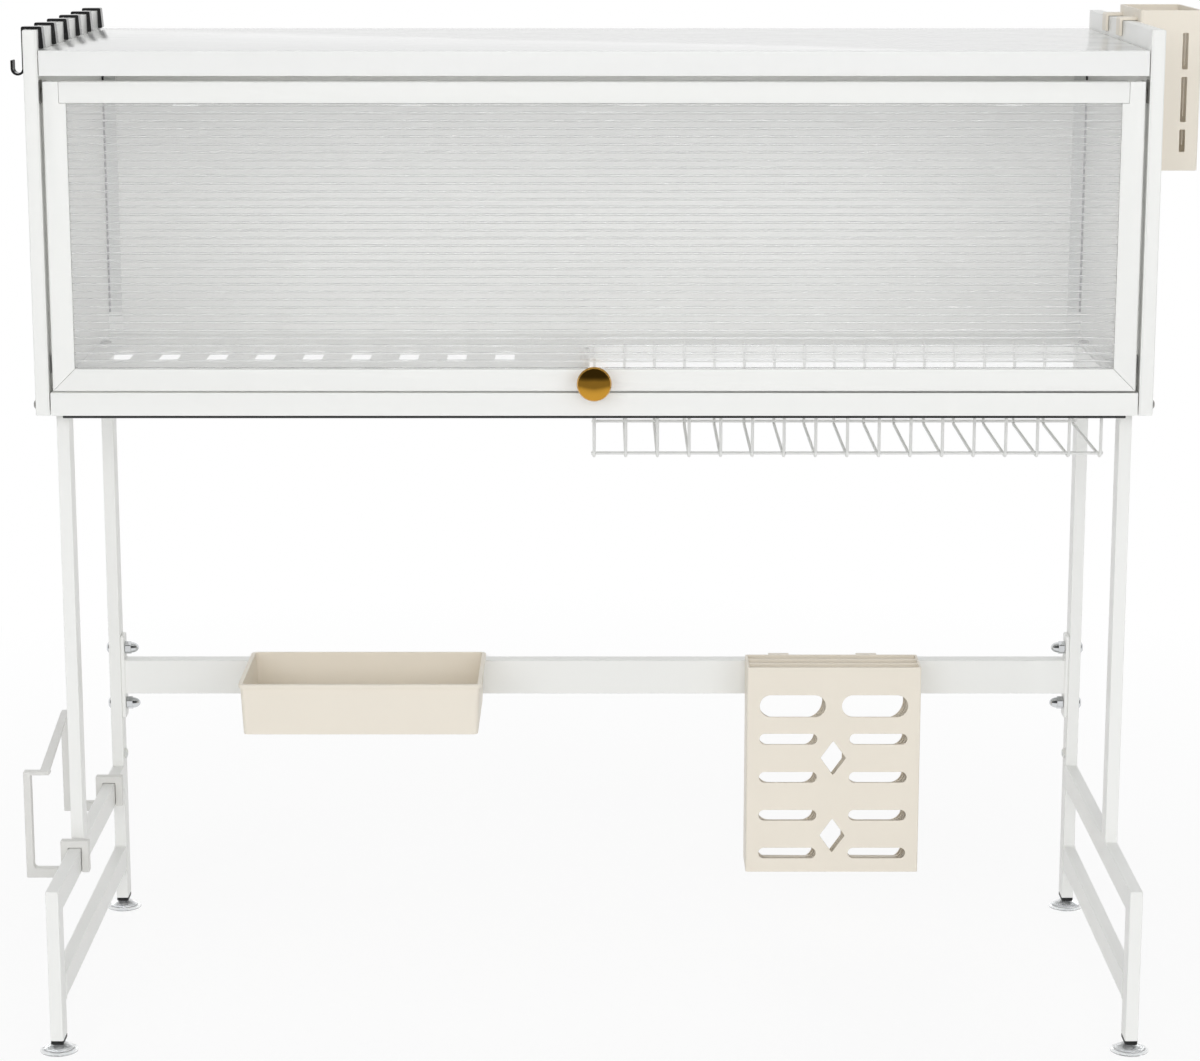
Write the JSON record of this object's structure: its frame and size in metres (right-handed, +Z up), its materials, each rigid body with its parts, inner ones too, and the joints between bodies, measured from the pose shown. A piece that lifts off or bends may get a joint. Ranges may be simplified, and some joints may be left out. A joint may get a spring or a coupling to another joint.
{
  "type": "over-sink dish rack",
  "caption": "Over-sink dish drying rack: a cabinet with a flip-up clear door carried above a sink, with a wire basket, hanging holders, hooks and a side rack.",
  "frame": {"origin": "on the worktop, under the middle of the whole rack's box", "axes": "+X to the right as seen from the front, +Y to the rear, +Z up"},
  "size_m": [0.946, 0.421, 0.797],
  "materials": {
    "white_steel": "semi-gloss powder coat",
    "coated_wire": "coated wire",
    "white_coated_bar": "gloss coat",
    "clear_panel": "clear, fluted",
    "cream_plastic": "satin",
    "white_plastic": "satin",
    "black_plastic": "matte",
    "black_gloss": "gloss",
    "knob_brass": "polished",
    "chrome": "polished",
    "steel": "satin",
    "grey_rubber": "matte",
    "clear_rubber": "clear"
  },
  "bodies": {
    "frame": {"back_panel": "white_steel", "base_frame_left": "white_steel", "base_frame_right": "white_steel", "cabinet_floor": "white_steel", "cross_bar": "white_steel", "cross_bar_bolts": "chrome", "dome_nuts": "chrome", "door_stops": "grey_rubber", "foot_plugs": "black_plastic", "front_post_left": "white_steel", "front_post_right": "white_steel", "hinge_plates": "steel", "panel_screws": "steel", "post_inserts": "steel", "post_joint_screws": "white_plastic", "post_top_screws": "steel", "rear_post_left": "white_steel", "rear_post_right": "white_steel", "side_cover_left": "white_steel", "side_cover_right": "white_steel", "side_liner_left": "white_steel", "side_liner_right": "white_steel", "suction_cups": "clear_rubber", "top_shelf": "white_steel"},
    "door": {"door_stile_left": "white_steel", "door_stile_right": "white_steel", "door_top_rail": "white_steel", "door_bottom_rail": "white_steel", "door_panel": "clear_panel", "door_panel_clips": "white_plastic", "door_knob": "knob_brass", "door_knob_screw": "steel", "hinge_bushes": "white_plastic"},
    "basket": {"basket_rim": "coated_wire", "basket_cross_wires": "coated_wire", "basket_floor_wires": "coated_wire"},
    "tray": {"caddy_tray": "cream_plastic"},
    "boards": {"board_holder": "cream_plastic"},
    "utensils": {"utensil_holder": "cream_plastic"},
    "arm_rack": {"side_rack": "white_coated_bar"},
    "hook_1_body": {"hook_1": "black_gloss"},
    "hook_2_body": {"hook_2": "black_gloss"},
    "hook_3_body": {"hook_3": "black_gloss"},
    "hook_4_body": {"hook_4": "black_gloss"},
    "hook_5_body": {"hook_5": "black_gloss"},
    "hook_6_body": {"hook_6": "black_gloss"}
  },
  "joints": [
    {"name": "door_swing", "type": "hinge", "parent": "frame", "child": "door", "pos_m": [-0.01355, -0.1005, 0.7411], "axis": [-1, 0, 0], "range_deg": [0, 90]},
    {"name": "basket_lift", "type": "slide", "parent": "frame", "child": "basket", "axis": [0, 0, 1], "range_m": [0, 0.1]},
    {"name": "tray_lift", "type": "slide", "parent": "frame", "child": "tray", "axis": [0, 0, 1], "range_m": [0, 0.05]},
    {"name": "boards_lift", "type": "slide", "parent": "frame", "child": "boards", "axis": [0, 0, 1], "range_m": [0, 0.05]},
    {"name": "utensils_lift", "type": "slide", "parent": "frame", "child": "utensils", "axis": [0, 0, 1], "range_m": [0, 0.05]},
    {"name": "arm_rack_lift", "type": "slide", "parent": "frame", "child": "arm_rack", "axis": [0, 0, 1], "range_m": [0, 0.04]},
    {"name": "hook_1_lift", "type": "slide", "parent": "frame", "child": "hook_1_body", "axis": [0, 0, 1], "range_m": [0, 0.03]},
    {"name": "hook_2_lift", "type": "slide", "parent": "frame", "child": "hook_2_body", "axis": [0, 0, 1], "range_m": [0, 0.03]},
    {"name": "hook_3_lift", "type": "slide", "parent": "frame", "child": "hook_3_body", "axis": [0, 0, 1], "range_m": [0, 0.03]},
    {"name": "hook_4_lift", "type": "slide", "parent": "frame", "child": "hook_4_body", "axis": [0, 0, 1], "range_m": [0, 0.03]},
    {"name": "hook_5_lift", "type": "slide", "parent": "frame", "child": "hook_5_body", "axis": [0, 0, 1], "range_m": [0, 0.03]},
    {"name": "hook_6_lift", "type": "slide", "parent": "frame", "child": "hook_6_body", "axis": [0, 0, 1], "range_m": [0, 0.03]}
  ]
}
